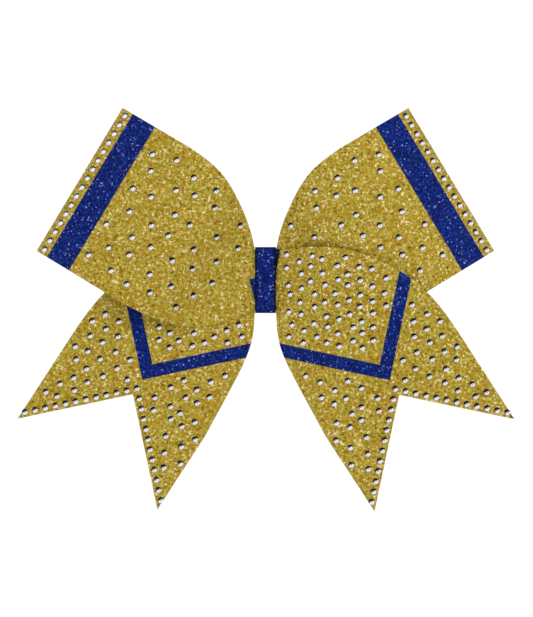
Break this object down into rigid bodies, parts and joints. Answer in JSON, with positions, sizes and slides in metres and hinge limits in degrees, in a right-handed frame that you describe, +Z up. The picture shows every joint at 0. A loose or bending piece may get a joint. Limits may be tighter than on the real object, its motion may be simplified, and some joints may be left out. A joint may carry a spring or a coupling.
{
  "type": "cheer hair bow",
  "caption": "Wide stiff glitter-ribbon hair bow with two loops, two notched tails, bent stripes, rhinestones and a bound knot, on a spring barrette that opens.",
  "frame": {"origin": "the middle of the hair gap in the closed barrette, level with the middle of the knot", "axes": "+Z up the standing bow, -Y out of its front, +X to the viewer's right, along the barrette"},
  "size_m": [0.2266, 0.0355, 0.1836],
  "materials": {
    "gold_glitter": "fine gold glitter bonded to the ribbon's face, rough with small bright flakes",
    "blue_glitter": "royal blue glitter film, rough with small bright flakes",
    "grosgrain_backing": "old-gold ribbed grosgrain ribbon, matt",
    "rhinestone": "clear cut crystal with a foiled back",
    "hot_glue": "cloudy cream hot-melt glue",
    "tie_plastic": "black nylon",
    "nickel_steel": "nickel-plated steel, lightly worn",
    "spring_steel": "thin spring steel, brushed"
  },
  "bodies": {
    "bow": {"left_loop_backing": "grosgrain_backing", "left_loop_face": "gold_glitter", "left_loop_stripe": "blue_glitter", "left_loop_border_stones": "rhinestone", "left_loop_stones": "rhinestone", "left_tail_backing": "grosgrain_backing", "left_tail_face": "gold_glitter", "left_chevron": "blue_glitter", "left_tail_border_stones": "rhinestone", "left_tail_stones": "rhinestone", "left_glue_pad": "hot_glue", "right_loop_backing": "grosgrain_backing", "right_loop_face": "gold_glitter", "right_loop_stripe": "blue_glitter", "right_loop_border_stones": "rhinestone", "right_loop_stones": "rhinestone", "right_tail_backing": "grosgrain_backing", "right_tail_face": "gold_glitter", "right_chevron": "blue_glitter", "right_tail_border_stones": "rhinestone", "right_tail_stones": "rhinestone", "right_glue_pad": "hot_glue", "centre_tie": "tie_plastic", "knot_inner_wrap": "blue_glitter", "knot_outer_wrap": "blue_glitter", "barrette_plate": "nickel_steel", "hinge_pin": "nickel_steel", "latch_clip": "nickel_steel", "latch_rivet": "nickel_steel"},
    "clasp_arm": {"clasp_arm": "nickel_steel"},
    "tension_bar": {"tension_bar": "spring_steel"},
    "latch_wing_upper": {"latch_wing_upper": "nickel_steel"},
    "latch_wing_lower": {"latch_wing_lower": "nickel_steel"}
  },
  "joints": [
    {"name": "clasp_arm_swing", "type": "hinge", "parent": "bow", "child": "clasp_arm", "pos_m": [-0.0385, 0.0024, 0], "axis": [0, 0, 1], "range_deg": [0, 80]},
    {"name": "tension_bar_flex", "type": "hinge", "parent": "bow", "child": "tension_bar", "pos_m": [-0.0385, 0.0024, 0], "axis": [0, 0, -1], "range_deg": [0, 2], "stiffness_Nm_per_rad": 0.4},
    {"name": "upper_wing_squeeze", "type": "hinge", "parent": "bow", "child": "latch_wing_upper", "pos_m": [0.0375, -0.0023, 0.00235], "axis": [-1, 0, 0], "range_deg": [0, 6], "stiffness_Nm_per_rad": 0.2},
    {"name": "lower_wing_squeeze", "type": "hinge", "parent": "bow", "child": "latch_wing_lower", "pos_m": [0.0375, -0.0023, -0.00235], "axis": [1, 0, 0], "range_deg": [0, 6], "stiffness_Nm_per_rad": 0.2}
  ],
  "couplings": [
    {"joint": "lower_wing_squeeze", "follows": "upper_wing_squeeze", "ratio": 1}
  ]
}
